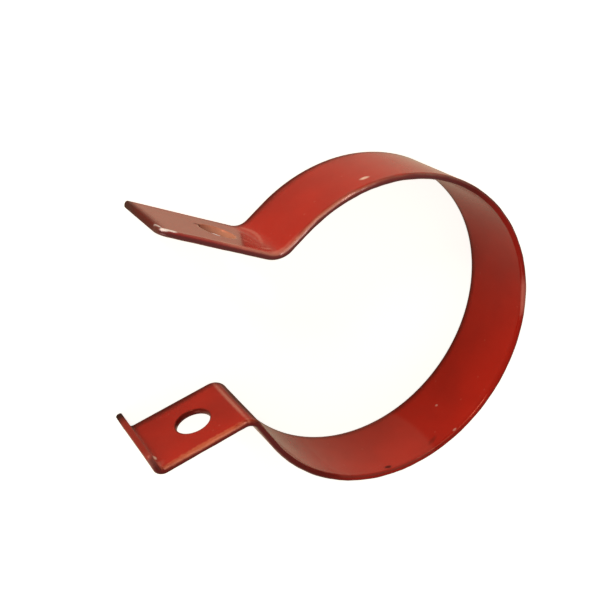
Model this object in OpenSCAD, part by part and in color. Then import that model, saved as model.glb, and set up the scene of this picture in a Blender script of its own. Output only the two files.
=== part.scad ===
// Open exhaust clamp, folded from one strip of steel.
// The origin is the centre of the band, halfway across the strip. +X points away from the ears,
// and the pipe runs along Z. The clamp lies on the strip's lower long edge.

/* [Strip] */
// Width of the strip, which is the clamp's length along the pipe
strip_w = 25; // [18:0.5:40]
// Thickness of the strip
strip_t = 1.6; // [1:0.1:3]
// Rounding of the strip's rolled long edges
edge_r = 0.7; // [0.2:0.05:0.8]

/* [Band] */
// Inside diameter of the band as it lies open
bore_d = 88; // [40:1:150]
// Angle of the band's open side, seen from its centre
open_angle = 84; // [50:1:120]

/* [Plain ear] */
// Straight neck between the band and the fold
plain_neck = 6; // [0:0.5:15]
// Angle that the fold turns through
plain_fold = 61; // [30:1:100]
// Inside radius of the fold
plain_fold_r = 5; // [1:0.1:12]
// Length of the ear from the end of its fold
plain_len = 30.5; // [18:0.5:50]
// Radius of the two corners at the ear's tip
plain_corner_r = 3; // [0.5:0.5:8]

/* [Lipped ear] */
// Straight neck between the band and the fold
lipped_neck = 8.5; // [0:0.5:15]
// Angle that the fold turns through
lipped_fold = 74; // [30:1:100]
// Inside radius of the fold
lipped_fold_r = 3; // [1:0.1:12]
// Length of the ear between its fold and the fold of the lip
lipped_len = 23.3; // [18:0.1:50]
// Angle that the lip is turned up
lip_fold = 83; // [30:1:100]
// Inside radius of the lip's fold
lip_fold_r = 1.2; // [0.6:0.1:5]
// Straight height of the lip above its fold
lip_len = 5; // [2:0.5:12]
// Radius of the lip's two corners
lip_corner_r = 1.5; // [0.5:0.5:2]

/* [Bolt holes] */
// Diameter of the bolt hole in each ear
bolt_hole_d = 9.5; // [5:0.1:12]
// Distance of each hole's centre from the corner that its ear and neck would make without the fold
bolt_hole_reach = 12.9; // [10.5:0.1:16]

/* [Hidden] */
$fn = 96;
// The strip draws down this much on each side where it is folded
draw_down = 0.01;
// Length by which a neck or fold runs on into the stretch that it joins
lap = 0.05;
// The rounding of the long edges can't be deeper than the strip
edge = min(edge_r, 0.45 * strip_t);
band_r = (bore_d + strip_t) / 2;
band_end = 180 - open_angle / 2;

// Cross-section of the strip, thickness along X and width along Y.
module strip_section(inset = 0) {
    square([strip_t - 2 * edge, strip_w - 2 * inset], center = true);
    square([strip_t - 2 * inset, strip_w - 2 * edge], center = true);
    for (x = [-1, 1], y = [-1, 1])
        translate([x * (strip_t / 2 - edge), y * (strip_w / 2 - edge)])
            circle(edge - inset);
}

// Straight stretch of strip from the origin along +Y.
module straight(len, inset = 0) {
    rotate([90, 0, 0])
        translate([0, 0, -len])
            linear_extrude(len)
                strip_section(inset);
}

// Stretch of strip bent about the Z axis, with r measured to the middle of the strip.
module bent(r, start, angle, inset = 0) {
    rotate_extrude(start = start, angle = angle)
        translate([r, 0])
            strip_section(inset);
}

// Neck along +Y, then a fold towards -X. What follows starts where the fold ends.
module fold(neck, angle, inner_r) {
    r = inner_r + strip_t / 2;
    run_on = lap / r * 180 / PI;
    translate([0, -lap, 0]) straight(neck + lap, draw_down);
    translate([-r, neck, 0]) {
        bent(r, 0, angle + run_on, draw_down);
        rotate([0, 0, angle]) translate([r, 0, 0]) children();
    }
}

// Round hole through an ear that starts at the origin, where its fold ends, and runs along +Y.
module bolt_hole(angle, inner_r) {
    from_fold = bolt_hole_reach - (inner_r + strip_t / 2) * tan(angle / 2);
    translate([0, from_fold, 0])
        rotate([0, 90, 0])
            cylinder(d = bolt_hole_d, h = 4 * strip_t, center = true);
}

// Outline of a sheared end, looking along X: square at the origin, rounded corners at the tip.
module end_outline(len, corner_r) {
    r = min(corner_r, strip_w / 2 - 1, len - 0.5);
    translate([-strip_w / 2 - 1, -1]) square([strip_w + 2, len - r + 1]);
    translate([r - strip_w / 2, 0]) square([strip_w - 2 * r, len]);
    for (side = [-1, 1])
        translate([side * (strip_w / 2 - r), len - r]) circle(r);
}

// Straight stretch that ends in a sheared tip with rounded corners.
module strip_end(len, corner_r) {
    intersection() {
        straight(len);
        rotate([0, 90, 0])
            linear_extrude(4 * strip_t, center = true)
                end_outline(len, corner_r);
    }
}

module band() {
    bent(band_r, -band_end, 2 * band_end);
}

// Moves what follows to the end of the band, with +Y running on from the strip and -X outwards.
module at_band_end() {
    rotate([0, 0, band_end]) translate([band_r, 0, 0]) mirror([1, 0, 0]) children();
}

module plain_ear() {
    fold(plain_neck, plain_fold, plain_fold_r)
        difference() {
            strip_end(plain_len, plain_corner_r);
            bolt_hole(plain_fold, plain_fold_r);
        }
}

module lipped_ear() {
    fold(lipped_neck, lipped_fold, lipped_fold_r) {
        difference() {
            straight(lipped_len);
            bolt_hole(lipped_fold, lipped_fold_r);
        }
        translate([0, lipped_len, 0])
            mirror([1, 0, 0])
                fold(0, lip_fold, lip_fold_r)
                    strip_end(lip_len, lip_corner_r);
    }
}

module clamp_strap() {
    color("#a3221a") {
        band();
        at_band_end() plain_ear();
        mirror([0, 1, 0]) at_band_end() lipped_ear();
    }
}

clamp_strap();
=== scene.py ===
import math

import bmesh
import bpy
import numpy as np
from mathutils import Matrix, Vector


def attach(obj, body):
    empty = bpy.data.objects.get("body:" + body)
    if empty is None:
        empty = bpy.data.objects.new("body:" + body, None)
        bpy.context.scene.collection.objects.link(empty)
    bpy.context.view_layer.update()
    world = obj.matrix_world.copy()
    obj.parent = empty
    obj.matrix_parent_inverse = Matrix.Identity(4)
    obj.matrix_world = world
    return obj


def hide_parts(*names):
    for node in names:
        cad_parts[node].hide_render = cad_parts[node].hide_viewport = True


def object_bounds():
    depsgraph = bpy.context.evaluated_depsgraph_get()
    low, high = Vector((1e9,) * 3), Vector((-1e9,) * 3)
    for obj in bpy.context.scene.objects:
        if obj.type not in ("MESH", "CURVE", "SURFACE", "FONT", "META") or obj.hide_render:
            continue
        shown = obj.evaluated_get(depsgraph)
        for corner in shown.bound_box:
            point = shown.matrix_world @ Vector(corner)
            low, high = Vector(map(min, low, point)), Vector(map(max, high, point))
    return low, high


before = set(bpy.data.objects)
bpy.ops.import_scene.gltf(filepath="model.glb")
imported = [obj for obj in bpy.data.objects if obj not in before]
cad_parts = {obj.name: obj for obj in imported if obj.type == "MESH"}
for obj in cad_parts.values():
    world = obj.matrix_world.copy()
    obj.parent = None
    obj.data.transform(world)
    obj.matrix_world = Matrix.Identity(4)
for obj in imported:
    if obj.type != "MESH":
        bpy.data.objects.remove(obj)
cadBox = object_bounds()
mm = 0.001
scene = bpy.context.scene


def addObject(name, data):
    thing = bpy.data.objects.new(name, data)
    scene.collection.objects.link(thing)
    return thing


# Camera

photoCamera = {
    "position": (-154.68, 94.55, 213.04),  # mm from the centre of the band
    "lookAt": (-24.86, 6.81, 0.0),         # a point halfway up the strip, mm
    "roll": 126.91,                       # turn about the line of view, degrees
    "lens": 58.61,                         # mm, on a sensor 36 mm wide
    "shiftX": -0.0008,
    "shiftY": 0.0008,
}


def addCamera(spec):
    # Stands at position, looks along the line to lookAt, then turns about that line by roll.
    position = Vector(spec["position"]) * mm
    forward = (Vector(spec["lookAt"]) * mm - position).normalized()
    level = forward.to_track_quat("-Z", "Y").to_matrix().to_4x4()
    roll = Matrix.Rotation(math.radians(spec["roll"]), 4, "Z")
    lens = bpy.data.cameras.new("photoCamera")
    lens.lens = spec["lens"]
    lens.sensor_width = 36
    lens.shift_x = spec["shiftX"]
    lens.shift_y = spec["shiftY"]
    lens.clip_start = 0.01
    lens.clip_end = 20
    camera = addObject("photoCamera", lens)
    camera.matrix_world = Matrix.Translation(position) @ level @ roll
    scene.camera = camera


addCamera(photoCamera)
print("camera placed")


# The strap: one painted steel strip, drawn flat and then bent along its path

strap = {
    "width": 25.0,              # along the pipe, mm
    "thickness": 1.6,
    "plainEar": 30.5,
    "plainFold": (61.0, 5.8),   # degrees turned, radius at mid thickness
    "plainNeck": 6.0,
    "band": (-276.0, 44.8),
    "lippedNeck": 8.5,
    "lippedFold": (74.0, 3.8),
    "lippedEar": 23.3,
    "lipFold": (-83.0, 2.0),
    "lip": 5.0,
    "plainCorner": 3.2,         # radius of the upper corner at the plain ear's tip
    "plainLowCorner": 1.5,      # and of the lower one, which was cut closer
    "lipCorner": 1.5,
    "boltHole": 4.75,           # radius
    "holeReach": 12.9,          # to the hole from where ear and neck would meet without a fold
    "farEdge": 0.95,            # depth of the rounding along the lower long edge
    # and along the upper one, at lengths along the strip: it was dressed more on the ears' side
    "nearEdge": ((0, 1.0), (22, 1.05), (36, 1.4), (75, 1.45), (110, 0.95), (210, 0.95), (262, 1.2),
                 (274, 1.4), (291, 1.4), (298, 0.9)),
    # place along the strip, and the power of the upper edge's curve outside and inside
    "rolledShapes": ((0, 1.85, 1.85), (22, 1.4, 2.1), (95, 1.4, 2.1), (140, 1.85, 1.85),
                     (255, 1.85, 1.85), (264, 2.1, 1.4), (294, 2.1, 1.4), (300, 1.85, 1.85)),
    "edgeWave": 0.10,           # share by which the dressing wanders
    "shearedEdge": 0.40,        # at the sheared ends
    "holeEdge": 0.30,           # and round the holes
    "edgeShape": 1.85,          # power of the edge's curve: 2 is an ellipse, less is more bevelled
    "film": 0.09,               # thickness of the dipped coat over the faces
    "cell": 0.55,               # size of the mesh's cells
}


def stretches(spec):
    # One (length, curvature) pair for each stretch, from the plain ear's tip to the lip's.
    # An arc of angle a and radius r is |a| r long, with a curvature of 1 / r that takes the
    # sign of a: plus turns left.
    def arc(turn):
        angle, radius = turn
        return abs(math.radians(angle)) * radius, math.copysign(1 / radius, angle)

    return np.array([
        (spec["plainEar"], 0), arc(spec["plainFold"]), (spec["plainNeck"], 0), arc(spec["band"]),
        (spec["lippedNeck"], 0), arc(spec["lippedFold"]), (spec["lippedEar"], 0),
        arc(spec["lipFold"]), (spec["lip"], 0),
    ])


path = stretches(strap)
joins = np.concatenate([[0], np.cumsum(path[:, 0])])                  # length along the strip
headings = np.concatenate([[0], np.cumsum(path[:, 0] * path[:, 1])])
bandStart, bandEnd = joins[3], joins[4]
halfWidth, halfThick = strap["width"] / 2, strap["thickness"] / 2


def foldTangent(turn):
    # From the end of a fold to where its two straight sides would meet: r tan(a / 2).
    angle, radius = turn
    return radius * math.tan(math.radians(angle) / 2)


holeStations = (joins[1] - strap["holeReach"] + foldTangent(strap["plainFold"]),
                joins[6] + strap["holeReach"] - foldTangent(strap["lippedFold"]))


def run(length, curvature):
    # Along a stretch that starts at the origin towards +X: (sin(k l) / k, (1 - cos(k l)) / k).
    # Written with the chord l sinc(k l / 2), it also holds for a straight one, where k is 0.
    half = length * curvature / 2
    chord = length * np.sinc(half / math.pi)
    return chord * np.cos(half), chord * np.sin(half)


def turned(x, y, angle):
    return x * np.cos(angle) - y * np.sin(angle), x * np.sin(angle) + y * np.cos(angle)


def centreline(s):
    # Point and heading at length s: the run of its own stretch, turned to the heading where
    # that stretch starts and added to the point where it starts.
    startX, startY = [0.0], [0.0]
    for (length, curvature), heading in zip(path, headings):
        dx, dy = turned(*run(length, curvature), heading)
        startX.append(startX[-1] + dx)
        startY.append(startY[-1] + dy)
    i = np.clip(np.searchsorted(joins, s, side="right") - 1, 0, len(path) - 1)
    dx, dy = turned(*run(s - joins[i], path[i, 1]), headings[i])
    return np.array(startX)[i] + dx, np.array(startY)[i] + dy, headings[i] + (s - joins[i]) * path[i, 1]


def bend(s, w, h):
    # P(s, w, h) = C(s) + h N(s) + w Z, where s runs along the strip and w across it, and h is
    # the height over mid thickness, plus on the side away from the pipe. C and its left
    # normal N are turned so that the band's middle is on +X and its centre is the origin.
    midX, midY, midHeading = (float(v) for v in centreline((bandStart + bandEnd) / 2))
    x, y, heading = centreline(s)
    turn = -math.pi / 2 - midHeading
    x, y = turned(x - midX, y - midY, turn)
    heading = heading + turn
    x = x + strap["band"][1] - h * np.sin(heading)
    y = y + h * np.cos(heading)
    return np.stack([x, y, w], -1) * mm


def gridLines(stops, step):
    # Lines at every stop, and evenly between two stops so that no two are over step apart.
    steps = step if hasattr(step, "__len__") else [step] * (len(stops) - 1)
    parts = [np.linspace(a, b, max(1, math.ceil((b - a) / d - 1e-6)), endpoint=False)
             for a, b, d in zip(stops[:-1], stops[1:], steps)]
    return np.concatenate(parts + [[stops[-1]]])


def edgeCurve(count, outerShape, innerShape):
    # Half superellipse over the strip's edge, for a from 90 to -90 degrees:
    # h = t/2 sin(a)^(2/p) with the sign of a, and inset = 1 - cos(a)^(2/p), in shares of the
    # edge's depth. The power p is the outer shape where a > 0 and the inner shape elsewhere.
    a = np.linspace(math.pi / 2, -math.pi / 2, count)[1:-1, None]
    power = 2 / np.where(a > 0, outerShape, innerShape)
    height = halfThick * np.sign(a) * np.abs(np.sin(a)) ** power
    return 1 - np.abs(np.cos(a)) ** power, height


class Blank:
    # The flat strip as patches of quads, with (s, w, h, edge) at each point. Edge is 0 on the
    # open faces and 1 on the crest of an edge.
    def __init__(self):
        self.points, self.quads, self.count = [], [], 0

    def add(self, s, w, h, edge, closed=False, keep=None):
        s, w, h, edge = np.broadcast_arrays(s, w, h, edge)
        index = np.arange(s.size).reshape(s.shape) + self.count
        if closed:
            index = np.concatenate([index, index[:, :1]], 1)
        quads = np.stack([index[:-1, :-1], index[:-1, 1:], index[1:, 1:], index[1:, :-1]], -1)
        self.quads.append(quads.reshape(-1, 4) if keep is None else quads[keep])
        self.points.append(np.stack([s, w, h, edge], -1).reshape(-1, 4))
        self.count += s.size


def ringRows(insideS, insideW, rimS, rimW, outS, outW, depth, shapes, rows, count):
    # Rows of a ring that goes from a line on one face, over an edge, to the same line on the
    # other face. On a face: inside + f (rim - out depth - inside), with f from 0 to 1. On the
    # edge: rim - out inset(a), at height h(a).
    f = np.linspace(0, 1, rows)[:, None] ** 0.8
    faceS = insideS + f * (rimS - outS * depth - insideS)
    faceW = insideW + f * (rimW - outW * depth - insideW)
    inset, height = edgeCurve(count, *shapes)
    edgeS, edgeW = rimS - outS * depth * inset, rimW - outW * depth * inset
    flat = np.full(faceS.shape, halfThick)
    s = np.concatenate([faceS, edgeS, faceS[::-1]])
    w = np.concatenate([faceW, edgeW, faceW[::-1]])
    h = np.concatenate([flat, height + 0 * edgeS, -flat])
    crest = np.concatenate([0 * faceS, 1 - inset + 0 * edgeS, 0 * faceS])
    return s, w, h, crest


def outline(stations, across):
    # Once round the blank, column by column. Each column has its point on the inner rectangle,
    # its point on the outline and the outward direction there. A corner's columns fan out from
    # the rectangle's corner to the outline: straight, arc of the corner's radius, straight.
    lastS = joins[-1]
    lowS, highS, highW = stations[0], stations[-1], across[-1]
    columns = []

    def side(insideS, insideW, rimS, rimW, outS, outW):
        columns.append(np.broadcast_arrays(insideS, insideW, rimS, rimW, outS, outW))

    def corner(endS, cornerS, cornerW, radius, startsLong):
        # Points by share f of the way round from the long edge to the sheared end.
        towards = np.sign(endS - cornerS)
        centreS = endS - towards * radius
        centreW = np.sign(cornerW) * (halfWidth - radius)
        straightA, bow = abs(centreS - cornerS), radius * math.pi / 2
        straightB = abs(abs(cornerW) - abs(centreW))
        along = gridLines([0, straightA, straightA + bow, straightA + bow + straightB], 0.35)
        along = along[1:-1] if startsLong else along[1:-1][::-1]
        angle = np.clip((along - straightA) / radius, 0, math.pi / 2)
        outS, outW = towards * np.sin(angle), np.sign(cornerW) * np.cos(angle)
        rimS = centreS + radius * outS + towards * np.minimum(along - straightA, 0)
        rimW = centreW + radius * outW - np.sign(cornerW) * np.maximum(along - straightA - bow, 0)
        side(cornerS + 0 * along, cornerW, rimS, rimW, outS, outW)

    side(stations, highW, stations, halfWidth, 0, 1)
    corner(lastS, highS, highW, strap["lipCorner"], True)
    side(highS, across[::-1], lastS, across[::-1], 1, 0)
    corner(lastS, highS, -highW, strap["lipCorner"], False)
    side(stations[::-1], -highW, stations[::-1], -halfWidth, 0, -1)
    corner(0, lowS, -highW, strap["plainLowCorner"], True)
    side(lowS, across, 0, across, -1, 0)
    corner(0, lowS, highW, strap["plainCorner"], False)
    return [np.concatenate([c[k] for c in columns]) for k in range(6)]


def edgeDepth(s, outS, outW):
    # Near edge: read between the given lengths, times 1 + wave, a sum of two sines of s. At a
    # corner it passes into the sheared end's by the square of the outward direction along s.
    at, depth = np.transpose(strap["nearEdge"])
    wave = strap["edgeWave"] * (np.sin(0.62 * s + 0.8) + 0.7 * np.sin(1.4 * s + 2.0 * np.sin(0.3 * s)))
    near = np.interp(s, at, depth) * (1 + wave * (s > 3) * (s < joins[-1] - 3))
    rolled = np.where(outW > 0, near, strap["farEdge"])
    return rolled + (strap["shearedEdge"] - rolled) * outS ** 2


def edgeShapes(s, outW):
    # Powers of the edge's curve on the outer and the inner side. The upper long edge was rolled
    # from one side only: read between the given lengths there, and the plain power elsewhere.
    at, outer, inner = np.transpose(strap["rolledShapes"])
    upper = np.clip(outW, 0, 1) ** 2
    plain = strap["edgeShape"]
    return tuple(plain + upper * (np.interp(s, at, shape) - plain) for shape in (outer, inner))


def drawBlank():
    cell, square = strap["cell"], 6.5
    blank = Blank()
    low, high = strap["plainCorner"], joins[-1] - 2.0
    h1, h2 = holeStations
    stops = [low, h1 - square, h1 + square, joins[1], joins[2], joins[4], joins[5], joins[6],
             h2 - square, h2 + square, joins[7], joins[8], high]
    steps = [cell, 0.5, cell, 0.45, 0.6, cell, 0.3, cell, 0.5, cell, 0.25, cell]
    stations = gridLines(stops, steps)
    across = gridLines([-9.0, -square, square, 9.0], 0.5)

    # Open faces, without the squares that hold the holes.
    midS = (stations[:-1] + stations[1:])[:, None] / 2
    midW = (across[:-1] + across[1:])[None, :] / 2
    keep = np.ones(np.broadcast_shapes(midS.shape, midW.shape), bool)
    for station in holeStations:
        keep &= ~((np.abs(midS - station) < square) & (np.abs(midW) < square))
    for side in (1, -1):
        blank.add(stations[:, None], across[None, :], side * halfThick, 0.0, keep=keep)

    # Long edges, sheared ends and corners.
    insideS, insideW, rimS, rimW, outS, outW = outline(stations, across)
    depth = edgeDepth(rimS, outS, outW)
    blank.add(*ringRows(insideS, insideW, rimS, rimW, outS, outW, depth,
                        edgeShapes(rimS, outW), 7, 19), closed=True)

    # Bolt holes: from a square on the face to the round hole, and down its wall.
    for station in holeStations:
        cellsS = stations[(stations > station - square - 1e-6) & (stations < station + square + 1e-6)]
        cellsW = across[(across > -square - 1e-6) & (across < square + 1e-6)]
        squareS = np.concatenate([cellsS[:-1], 0 * cellsW[:-1] + cellsS[-1],
                                  cellsS[:0:-1], 0 * cellsW[:-1] + cellsS[0]])
        squareW = np.concatenate([0 * cellsS[:-1] - square, cellsW[:-1],
                                  0 * cellsS[:-1] + square, cellsW[:0:-1]])
        angle = np.arctan2(squareW, squareS - station)
        outS, outW = -np.cos(angle), -np.sin(angle)
        rimS = station - strap["boltHole"] * outS
        rimW = -strap["boltHole"] * outW
        shape = strap["edgeShape"] + 0 * outS
        blank.add(*ringRows(squareS, squareW, rimS, rimW, outS, outW, strap["holeEdge"],
                            (shape, shape), 7, 13), closed=True)
    return blank


def paintFilm(s, w, h, edge):
    # Height that the paint adds over the faces: a low bead along the long edges, where it
    # draws up as it dries, and a slow swell of the dipped coat.
    fromEdge = halfWidth - np.abs(w)
    bead = 0.035 * np.exp(-((fromEdge - 1.1) / 0.45) ** 2)
    swell = 0.012 * np.sin(s * 0.31 + 1.3 * np.sin(w * 0.22)) * np.sin(w * 0.37 + 0.8 * np.sin(s * 0.11))
    onFace = np.clip(np.abs(h) / halfThick, 0, 1) ** 6
    return h * (1 + strap["film"] / halfThick) + np.sign(h) * onFace * (bead + swell - 0.01)


def edgeInset(s, w):
    # Distance in from the nearest edge: the least of those to the long edges, to the two
    # sheared ends and to the rims of the holes. It counts 2.5 times round the holes, where the
    # painted edge shade stays narrow, and 0.6 on the lower edge, where it reaches further in.
    holes = [2.5 * (np.hypot(s - station, w) - strap["boltHole"]) for station in holeStations]
    edges = [halfWidth - w, 0.6 * (halfWidth + w), s, joins[-1] - s]
    return np.maximum(np.minimum.reduce(edges + holes), 0)


def buildStrap():
    blank = drawBlank()
    s, w, h, edge = np.concatenate(blank.points).T
    patterns = {"stripAlong": s * mm, "stripAcross": w * mm, "stripFace": h / halfThick,
                "edgeCrest": edge, "edgeInset": edgeInset(s, w) * mm}
    h = paintFilm(s, w, h, edge)
    mesh = bpy.data.meshes.new("enamelledStrap")
    mesh.from_pydata(bend(s, w, h), [], np.concatenate(blank.quads).tolist())
    for name, values in patterns.items():
        mesh.attributes.new(name, "FLOAT", "POINT").data.foreach_set("value", values.astype(np.float32))
    work = bmesh.new()
    work.from_mesh(mesh)
    bmesh.ops.remove_doubles(work, verts=work.verts, dist=2e-6)
    bmesh.ops.recalc_face_normals(work, faces=work.faces)
    openEdges = sum(1 for e in work.edges if len(e.link_faces) != 2)
    work.to_mesh(mesh)
    work.free()
    mesh.shade_smooth()
    piece = addObject("enamelled_strap", mesh)
    mesh.calc_loop_triangles()
    print("strap:", len(mesh.vertices), "points,", len(mesh.loop_triangles), "triangles,",
          openEdges, "open edges")
    return piece


strapPiece = buildStrap()


# Node helpers

class Nodes:
    # Adds nodes to one tree and gives back their outputs. A value for an input is a number, a
    # colour or the output of another node.
    def __init__(self, tree):
        self.tree = tree

    def add(self, kind, inputs=(), **settings):
        node = self.tree.nodes.new("ShaderNode" + kind)
        for name, value in settings.items():
            setattr(node, name, value)
        for name, value in dict(inputs).items():
            self.put(value, node.inputs[name])
        return node

    def put(self, value, socket):
        if isinstance(value, bpy.types.NodeSocket):
            self.tree.links.new(value, socket)
        else:
            socket.default_value = value

    def math(self, operation, *values):
        return self.add("Math", dict(enumerate(values)), operation=operation).outputs[0]

    def mix(self, factor, a, b):
        node = self.add("Mix", {"Factor": factor, "A": a, "B": b}, data_type="RGBA")
        return node.outputs["Result"]

    def smooth(self, value, low, high, atLow=0.0, atHigh=1.0):
        # Smoothstep of the value between low and high.
        node = self.add("MapRange", {"Value": value, "From Min": low, "From Max": high,
                                     "To Min": atLow, "To Max": atHigh},
                        interpolation_type="SMOOTHSTEP")
        return node.outputs["Result"]

    def vector(self, x, y, z=0.0):
        return self.add("CombineXYZ", {"X": x, "Y": y, "Z": z}).outputs[0]

    def noise(self, place, size, detail=2.0):
        # Noise whose patches are about size across, in metres.
        scale = 1 / size if isinstance(size, float) else self.math("DIVIDE", 1.0, size)
        return self.add("TexNoise", {"Vector": place, "Scale": scale, "Detail": detail}).outputs["Fac"]

    def group(self, tree, values):
        node = self.add("Group")
        node.node_tree = tree
        for name, value in values.items():
            self.put(value, node.inputs[name])
        return node.outputs[0]


def nodeGroup(name, inputs, output, kind="NodeSocketFloat"):
    # An empty group with one output, and named inputs that start at the values given.
    tree = bpy.data.node_groups.new(name, "ShaderNodeTree")
    for label, value in inputs.items():
        socketKind = "NodeSocketColor" if isinstance(value, tuple) else "NodeSocketFloat"
        tree.interface.new_socket(label, in_out="INPUT", socket_type=socketKind).default_value = value
    tree.interface.new_socket(output, in_out="OUTPUT", socket_type=kind)
    source, sink = tree.nodes.new("NodeGroupInput"), tree.nodes.new("NodeGroupOutput")
    return tree, Nodes(tree), source.outputs, sink.inputs[0]


def newMaterial(name):
    material = bpy.data.materials.new(name)
    material.use_nodes = True
    material.node_tree.nodes.clear()
    return material, Nodes(material.node_tree)


# Enamel: dark over the edges as painted shade, where the paint is also thin, pale on the folds as
# painted highlights, with a fine skin, slow sags, specks and a few marks

enamel = {
    "red": (0.43, 0.0120, 0.0053, 1),
    "deepRed": (0.35, 0.0098, 0.0050, 1),
    "shadedEarRed": (0.29, 0.0085, 0.0046, 1),  # painted shade over the plain ear
    "edgeShadeRed": (0.13, 0.0070, 0.0042, 1),   # painted shade over the edges, where the paint is also thin
    # Pale pink: dust specks, and painted highlights and reflections on the folds, edges and inner face.
    "dustAndHighlight": (0.62, 0.20, 0.14, 1),
    # Pale: paint nibs, and painted glints on the edges and the lip's corner.
    "nibAndGlint": (0.80, 0.52, 0.40, 1),
    # Near white: painted glint on the plain ear's upper corner.
    "cornerGlint": (0.95, 0.84, 0.78, 1),
    # Dark and dull: painted shade along the edges, the ends and the lipped fold and in the plain ear's hole,
    # and a small pit.
    "shadeAndWear": (0.062, 0.0040, 0.0030, 1),
    # Near black: painted shade on the lip's tip and the plain ear's far tip.
    "deepShade": (0.014, 0.0040, 0.0030, 1),
    # Painted reflection: the tan that the plain ear's face mirrors, laid round and in its hole.
    "tan": (0.56, 0.23, 0.135, 1),
    # Painted highlight along the upper edges of the arc and the lipped ear.
    "edgeHighlight": (0.72, 0.20, 0.085, 1),
    "roughness": 0.14,
    "thinRoughness": 0.24,
    "highlightRoughness": 0.34,
    "shadeAndWearRoughness": 0.60,
    "ior": 1.47,
    "warmGloss": (1.0, 0.28, 0.16, 1),      # tint of the head-on reflections
    "bead": 1.0,                            # extra gloss of the bead along the upper long edge
    "beadWorn": 0.30,                       # share of it left on the lipped ear
    "beadRoughness": 0.27,
    "driftSize": 0.016,                     # metres, as are all sizes here
    "thinAndShadeReach": 0.0012,
    "thinAndShadeRagged": 0.7,
    "farShadeCut": 0.75,                        # share of the painted edge shade taken off the band's far upper edge
    "peelSize": 0.0011,
    "peelDepth": 0.0012,                    # mm, as are all depths
    "sagSize": 0.009,
    "sagDepth": 0.020,
    "speckSize": 0.0022,
    "speckShare": 0.12,
}

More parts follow.
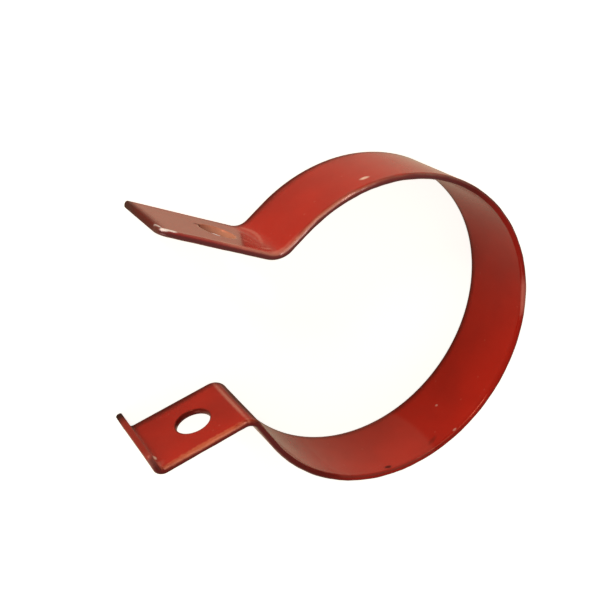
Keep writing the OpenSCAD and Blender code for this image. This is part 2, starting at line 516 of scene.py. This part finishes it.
# Marks on the paint, most of them painted light and shade: dark tones lay painted shade on the
# plain ear, the edges, the ends, the fold and in the hole, and pale tones painted highlights, glints
# and reflections on the folds, edges and corners; a few are nibs, a pit and red put back on the
# lip's end. Each is (tone, amount, side, place along and off the middle, half length, half width,
# turn in degrees, bow per mm, softness, raggedness), in mm. Side is 1 away from the pipe, -1
# towards it and 0 on both. Each tone is a colour of the enamel.
paintMarks = (
    # Painted shade over the plain ear's outer face.
    ("shadedEarRed", 1.00, 1, 14.0, 0.0, 15.0, 22.0, 0, 0, 0.2, 0.1),
    ("nibAndGlint", 0.90, 1, 64.5, 7.4, 1.2, 0.65, 0, 0, 0.5, 0.3),
    ("dustAndHighlight", 0.40, 1, 34.4, -4.0, 8.0, 0.55, 88, 0.035, 0.7, 0.8),
    ("edgeShadeRed", 0.25, 1, 31.0, 7.0, 2.6, 4.0, 0, 0, 0.8, 0.8),
    ("dustAndHighlight", 0.12, 1, 29.5, 2.0, 7.5, 4.0, 100, 0, 0.8, 1.6),
    ("dustAndHighlight", 0.50, 1, 27.0, 11.2, 11.0, 1.1, 0, 0, 0.6, 0.5),
    ("dustAndHighlight", 0.50, 1, 31.5, 7.5, 1.4, 0.7, 30, 0, 0.6, 0.8),
    ("dustAndHighlight", 0.50, 1, 27.8, 3.5, 1.6, 0.5, 60, 0, 0.6, 0.8),
    ("edgeHighlight", 0.30, 1, 50.0, 11.9, 15.0, 0.5, 0, 0, 0.7, 0.5),
    ("shadeAndWear", 0.90, 1, 48.0, -13.2, 19.0, 3.1, 0, 0, 0.7, 0.4),
    ("shadeAndWear", 0.90, 1, 145.0, 13.0, 60.0, 2.2, 0, 0, 0.3, 0.3),
    ("dustAndHighlight", 0.85, -1, 270.6, -1.0, 11.0, 0.45, 90, 0, 0.7, 0.5),
    ("shadeAndWear", 0.90, -1, 268.0, 0.0, 16.0, 1.5, 90, 0, 0.5, 0.2),
    ("edgeHighlight", 0.50, -1, 283.0, 11.6, 11.5, 0.9, 0, 0, 0.6, 1.4),
    ("shadeAndWear", 0.90, -1, 284.0, -13.2, 15.0, 3.1, 0, 0, 0.6, 0.4),
    ("red", 0.40, 0, 303.2, 3.0, 14.0, 1.2, 90, 0, 0.3, 0.2),
    ("deepShade", 1.00, 0, 301.5, -13.2, 6.0, 5.4, 0, 0, 0.5, 0.3),
    ("nibAndGlint", 0.90, -1, 296.6, 6.3, 0.9, 0.9, 0, 0, 0.5, 0.3),
    ("dustAndHighlight", 0.55, 0, 299.0, 10.6, 3.5, 1.2, 20, 0, 0.7, 0.6),
    ("shadeAndWear", 0.65, -1, 180.0, -13.2, 75.0, 1.7, 0, 0, 0.6, 0.4),
    ("shadeAndWear", 0.75, -1, 213.0, 12.6, 28.0, 0.7, 0, 0, 0.6, 0.6),
    ("dustAndHighlight", 0.10, -1, 215.0, 0.0, 18.5, 30.0, 0, 0, 0.06, 0.0),
    ("nibAndGlint", 0.40, -1, 186.4, -1.1, 0.4, 0.4, 0, 0, 0.6, 0.3),
    ("nibAndGlint", 0.40, -1, 189.1, 11.4, 0.6, 0.35, 0, 0, 0.6, 0.5),
    ("dustAndHighlight", 0.55, 0, 141.0, 12.3, 5.5, 0.6, 0, 0, 0.5, 0.5),
    ("edgeShadeRed", 0.50, -1, 196.3, 9.1, 1.8, 0.7, 20, 0, 0.7, 0.8),
    ("shadeAndWear", 0.90, -1, 213.8, 10.6, 1.1, 0.7, 0, 0, 0.5, 0.5),
    ("shadeAndWear", 0.90, 0, -0.6, 0.0, 16.0, 2.4, 90, 0, 0.9, 0.5),
    ("deepShade", 0.80, 0, -1.0, -12.0, 2.2, 7.0, 0, 0, 0.7, 0.4),
    # Painted glint on the plain ear's corner.
    ("cornerGlint", 0.90, 1, 2.4, 11.5, 2.2, 0.5, 4, 0, 0.4, 0.9),
    ("cornerGlint", 0.70, 1, 0.7, 9.6, 1.1, 0.4, 70, 0, 0.5, 0.9),
    # Painted reflection round and in the plain ear's hole.
    ("tan", 0.90, 0, 21.0, 0.0, 5.2, 5.2, 0, 0, 0.10, 0.0),
    ("shadeAndWear", 0.70, 0, 17.0, -2.8, 1.4, 0.9, 0, 0, 0.5, 0.4),
)


def makeDrift():
    # Slow patches of a deeper red: noise, mixed in by amount.
    tree, n, given, result = nodeGroup("pigmentDrift", {
        "Along": 0.0, "Across": 0.0, "Red": (1, 0, 0, 1), "Deep Red": (0.5, 0, 0, 1),
        "Patch Size": 0.01, "Amount": 1.0}, "Colour", "NodeSocketColor")
    place = n.vector(given["Along"], given["Across"])
    patches = n.smooth(n.noise(place, given["Patch Size"], 3.0), 0.35, 0.70)
    n.put(n.mix(n.math("MULTIPLY", patches, given["Amount"]), given["Red"], given["Deep Red"]), result)
    return tree


def makeThinAndShadeEdge():
    # Mask for the painted shade over the edges, and for their thinner, rougher paint.
    # 1 on an edge's crest, falling to 0 at reach in from it. Noise moves the reach in and out.
    tree, n, given, result = nodeGroup("thinAndShadeEdge", {
        "Along": 0.0, "Across": 0.0, "Crest": 0.0, "Inset": 0.01, "Reach": 0.001,
        "Ragged": 0.5}, "Mask")
    wander = n.noise(n.vector(given["Along"], given["Across"]), 0.004, 3.0)
    wander = n.math("MULTIPLY_ADD", n.math("SUBTRACT", wander, 0.5), given["Ragged"], 1.0)
    share = n.math("DIVIDE", given["Inset"], n.math("MULTIPLY", given["Reach"], wander))
    n.put(n.math("MAXIMUM", n.smooth(share, 0.25, 1.6, 1.0, 0.0), given["Crest"]), result)
    return tree


def makeSkin():
    # Fine peel plus slow sags across the strip, as a height in mm.
    tree, n, given, result = nodeGroup("enamelSkin", {
        "Along": 0.0, "Across": 0.0, "Face": 0.0, "Peel Size": 0.001, "Peel Depth": 0.001,
        "Sag Size": 0.01, "Sag Depth": 0.01}, "Height")
    place = n.vector(given["Along"], given["Across"], n.math("MULTIPLY", given["Face"], 0.02))
    slow = n.vector(given["Along"], n.math("MULTIPLY", given["Across"], 0.45),
                    n.math("MULTIPLY", given["Face"], 0.02))
    peel = n.math("MULTIPLY", n.noise(place, given["Peel Size"], 1.0), given["Peel Depth"])
    sag = n.math("MULTIPLY", n.noise(slow, given["Sag Size"], 1.0), given["Sag Depth"])
    n.put(n.math("ADD", peel, sag), result)
    return tree


def makeStripMark():
    # An oval mark on one face, turned on the strip and bowed by y = bow x^2: 1 inside the oval,
    # with a soft, ragged rim.
    tree, n, given, result = nodeGroup("stripMark", {
        "Along": 0.0, "Across": 0.0, "Face": 0.0, "Side": 1.0, "At": 0.0, "Off": 0.0,
        "Half Length": 0.002, "Half Width": 0.001, "Turn": 0.0, "Bow": 0.0, "Soft": 0.5,
        "Ragged": 0.3}, "Mask")
    dx, dy = n.math("SUBTRACT", given["Along"], given["At"]), n.math("SUBTRACT", given["Across"], given["Off"])
    c, s = n.math("COSINE", given["Turn"]), n.math("SINE", given["Turn"])
    x = n.math("ADD", n.math("MULTIPLY", dx, c), n.math("MULTIPLY", dy, s))
    y = n.math("SUBTRACT", n.math("MULTIPLY", dy, c), n.math("MULTIPLY", dx, s))
    y = n.math("SUBTRACT", y, n.math("MULTIPLY", given["Bow"], n.math("MULTIPLY", x, x)))
    x, y = n.math("DIVIDE", x, given["Half Length"]), n.math("DIVIDE", y, given["Half Width"])
    reach = n.math("SQRT", n.math("ADD", n.math("MULTIPLY", x, x), n.math("MULTIPLY", y, y)))
    wander = n.math("SUBTRACT", n.noise(n.vector(given["Along"], given["Across"]), 0.0012, 2.0), 0.5)
    reach = n.math("MULTIPLY_ADD", wander, given["Ragged"], reach)
    inside = n.smooth(reach, n.math("SUBTRACT", 1.0, given["Soft"]), n.math("ADD", 1.0, given["Soft"]),
                      1.0, 0.0)
    both = n.math("SUBTRACT", 1.0, n.math("ABSOLUTE", given["Side"]))
    facing = n.math("MAXIMUM", n.smooth(n.math("MULTIPLY", given["Face"], given["Side"]), 0.2, 0.7), both)
    n.put(n.math("MULTIPLY", inside, facing), result)
    return tree


def makeSpecks():
    # Small round specks: the cells of a Voronoi pattern whose random value is over the limit,
    # each 1 within a share of its cell.
    tree, n, given, result = nodeGroup("dustSpecks", {
        "Along": 0.0, "Across": 0.0, "Face": 0.0, "Cell": 0.002, "Limit": 0.8}, "Mask")
    place = n.vector(given["Along"], given["Across"], n.math("MULTIPLY", given["Face"], 0.02))
    cells = n.add("TexVoronoi", {"Vector": place, "Scale": n.math("DIVIDE", 1.0, given["Cell"])})
    pick = n.add("SeparateColor", {"Color": cells.outputs["Color"]}).outputs["Red"]
    chosen = n.math("GREATER_THAN", pick, given["Limit"])
    n.put(n.math("MULTIPLY", n.smooth(cells.outputs["Distance"], 0.05, 0.22, 1.0, 0.0), chosen), result)
    return tree


def makeEnamel(spec):
    material, n = newMaterial("redEnamel")

    def attribute(name):
        return n.add("Attribute", attribute_name=name).outputs["Fac"]

    along, across, face = attribute("stripAlong"), attribute("stripAcross"), attribute("stripFace")
    here = {"Along": along, "Across": across}
    sided = {**here, "Face": face}
    colour = n.group(makeDrift(), {**here, "Red": spec["red"], "Deep Red": spec["deepRed"],
                                   "Patch Size": spec["driftSize"], "Amount": 0.8})
    # Edge mask: painted shade over the edges, and the rougher paint and the bead's gloss there.
    thinAndShade = n.group(makeThinAndShadeEdge(), {**here, "Crest": attribute("edgeCrest"),
                                    "Inset": attribute("edgeInset"), "Reach": spec["thinAndShadeReach"],
                                    "Ragged": spec["thinAndShadeRagged"]})
    # Less of the painted edge shade along the upper edge of the band's far part.
    farHalf = n.math("MULTIPLY", n.smooth(along, 0.095, 0.112), n.smooth(along, 0.222, 0.240, 1.0, 0.0))
    shadeCut = n.math("MULTIPLY", farHalf, n.smooth(across, 0.0060, 0.0100, 0.0, spec["farShadeCut"]))
    thinAndShade = n.math("MULTIPLY", thinAndShade, n.math("SUBTRACT", 1.0, shadeCut))
    # Painted shade: the dark edge tone mixed in over the edges.
    colour = n.mix(thinAndShade, colour, spec["edgeShadeRed"])
    markTree = makeStripMark()
    dull = {"dustAndHighlight": 0.0, "shadeAndWear": 0.0, "deepShade": 0.0}
    # Marks mixed into the colour: most are painted shade, painted highlights and painted reflections.
    for tone, amount, side, at, off, length, width, turn, bow, soft, ragged in paintMarks:
        mark = n.group(markTree, {**sided, "Side": side, "At": at * mm, "Off": off * mm,
                                  "Half Length": length * mm, "Half Width": width * mm,
                                  "Turn": math.radians(turn), "Bow": bow / mm, "Soft": soft,
                                  "Ragged": ragged})
        share = n.math("MULTIPLY", mark, amount)
        colour = n.mix(share, colour, spec[tone])
        if tone in dull:
            dull[tone] = n.math("MAXIMUM", dull[tone], share)
    skin = n.group(makeSkin(), {**sided, "Peel Size": spec["peelSize"], "Peel Depth": spec["peelDepth"],
                                "Sag Size": spec["sagSize"], "Sag Depth": spec["sagDepth"]})
    specks = n.group(makeSpecks(), {**sided, "Cell": spec["speckSize"], "Limit": 0.86})
    height = n.math("MULTIPLY_ADD", specks, 0.004, skin)
    colour = n.mix(n.math("MULTIPLY", specks, spec["speckShare"]), colour, spec["dustAndHighlight"])
    # Rougher over the edges, on the pale marks of painted highlight and on the dark marks of painted shade.
    rough = n.math("MULTIPLY_ADD", thinAndShade, spec["thinRoughness"] - spec["roughness"], spec["roughness"])
    rough = n.math("MULTIPLY_ADD", dull["dustAndHighlight"], spec["highlightRoughness"] - spec["roughness"], rough)
    shadeAndWear = n.math("MAXIMUM", dull["shadeAndWear"], dull["deepShade"])
    rough = n.math("MULTIPLY_ADD", shadeAndWear, spec["shadeAndWearRoughness"] - spec["roughness"], rough)
    ears = n.math("ADD", n.smooth(along, 0.080, 0.100, 1.0, 0.0),
                  n.smooth(along, 0.240, 0.265, 0.0, spec["beadWorn"]))
    upper = n.math("MULTIPLY", n.smooth(across, 0.0085, 0.0112, 0.0, spec["bead"]), ears)
    bump = n.add("Bump", {"Height": height, "Distance": mm, "Strength": 1.0})
    paint = n.add("BsdfPrincipled", {"Base Color": colour, "Roughness": rough, "IOR": spec["ior"],
                                     "Specular Tint": spec["warmGloss"], "Normal": bump.outputs[0],
                                     "Coat Weight": n.math("MULTIPLY", thinAndShade, upper),
                                     "Coat Roughness": spec["beadRoughness"]})
    n.add("OutputMaterial", {"Surface": paint.outputs[0]})
    return material


strapPiece.data.materials.append(makeEnamel(enamel))
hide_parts("clamp_strap")
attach(strapPiece, "root")
print("enamel made")


# Floor, sky and lamps

studio = {
    "floorSize": 3.0,                  # metres
    "floor": (0.80, 0.75, 0.54, 1),    # a pale sand
    "white": (1.0, 1.0, 1.0, 1),
    "whiteGlow": 0.80,                 # takes the floor to white for the camera and through glass
    "glossGlow": 0.24,                 # and lifts it a little in the gloss of the paint
    "sky": 0.36,
    "keyAzimuth": 138,                 # degrees from +X towards +Y
    "keyHeight": 24,
    "keyDistance": 0.9,
    "keySize": 0.16,
    "keyPower": 1.7,
    "softAzimuth": 124,
    "softHeight": 13,
    "softWidth": 0.95,
    "softTall": 0.38,
    "softPower": 3.1,
    "softColour": (1.0, 0.86, 0.72),
    "sideAzimuth": 98,
    "sideHeight": 9,
    "sideSize": 0.14,
    "sidePower": 0.9,
    "fillAzimuth": 225,
    "fillHeight": 25,
    "fillSize": 0.60,
    "fillPower": 1.6,
}


def addFloor(spec):
    # One plain floor. To the camera and through glass it also has a white glow, which no shadow
    # takes away, and to gloss a lower glow of its own colour.
    mesh = bpy.data.meshes.new("floor")
    half, z = spec["floorSize"] / 2, cadBox[0].z - 0.00005
    mesh.from_pydata([(-half, -half, z), (half, -half, z), (half, half, z), (-half, half, z)],
                     [], [(0, 1, 2, 3)])
    material, n = newMaterial("studioFloor")
    rays = n.add("LightPath")
    gloss = rays.outputs["Is Glossy Ray"]
    direct = n.math("MAXIMUM", rays.outputs["Is Camera Ray"], rays.outputs["Is Transmission Ray"])
    level = n.math("ADD", n.math("MULTIPLY", direct, spec["whiteGlow"]),
                   n.math("MULTIPLY", gloss, spec["glossGlow"]))
    glow = n.add("Emission", {"Color": n.mix(gloss, spec["white"], spec["floor"]), "Strength": level})
    lit = n.add("BsdfDiffuse", {"Color": spec["floor"]})
    shown = n.add("AddShader", {0: lit.outputs[0], 1: glow.outputs[0]})
    n.add("OutputMaterial", {"Surface": shown.outputs[0]})
    mesh.materials.append(material)
    addObject("floor", mesh)


def addSky(spec):
    # White to the camera and through glass, and an even soft light to all else.
    world = bpy.data.worlds.new("studioSky")
    scene.world = world
    world.use_nodes = True
    world.node_tree.nodes.clear()
    n = Nodes(world.node_tree)
    rays = n.add("LightPath")
    direct = n.math("MAXIMUM", rays.outputs["Is Camera Ray"], rays.outputs["Is Transmission Ray"])
    sky = n.add("Background", {"Color": spec["white"], "Strength": n.math("MAXIMUM", direct, spec["sky"])})
    n.add("OutputWorld", {"Surface": sky.outputs[0]})


def addLamp(name, azimuth, height, distance, width, tall, power, warmth=(1, 1, 1)):
    # An oval lamp that stands at distance, azimuth and height round the clamp and faces it.
    a, e = math.radians(azimuth), math.radians(height)
    place = Vector((math.cos(a) * math.cos(e), math.sin(a) * math.cos(e), math.sin(e))) * distance
    lamp = bpy.data.lights.new(name, "AREA")
    lamp.shape = "ELLIPSE"
    lamp.size = width
    lamp.size_y = tall
    lamp.energy = power
    lamp.color = warmth
    thing = addObject(name, lamp)
    thing.location = place
    thing.rotation_mode = "QUATERNION"
    thing.rotation_quaternion = (-place).to_track_quat("-Z", "Y")


addFloor(studio)
addSky(studio)
addLamp("keyLamp", studio["keyAzimuth"], studio["keyHeight"], studio["keyDistance"],
        studio["keySize"], studio["keySize"], studio["keyPower"])
addLamp("softLamp", studio["softAzimuth"], studio["softHeight"], studio["keyDistance"],
        studio["softWidth"], studio["softTall"], studio["softPower"], studio["softColour"])
addLamp("sideLamp", studio["sideAzimuth"], studio["sideHeight"], studio["keyDistance"],
        studio["sideSize"], studio["sideSize"], studio["sidePower"])
addLamp("fillLamp", studio["fillAzimuth"], studio["fillHeight"], studio["keyDistance"],
        studio["fillSize"], studio["fillSize"], studio["fillPower"])
scene.view_settings.view_transform = "Standard"
print("studio lit")
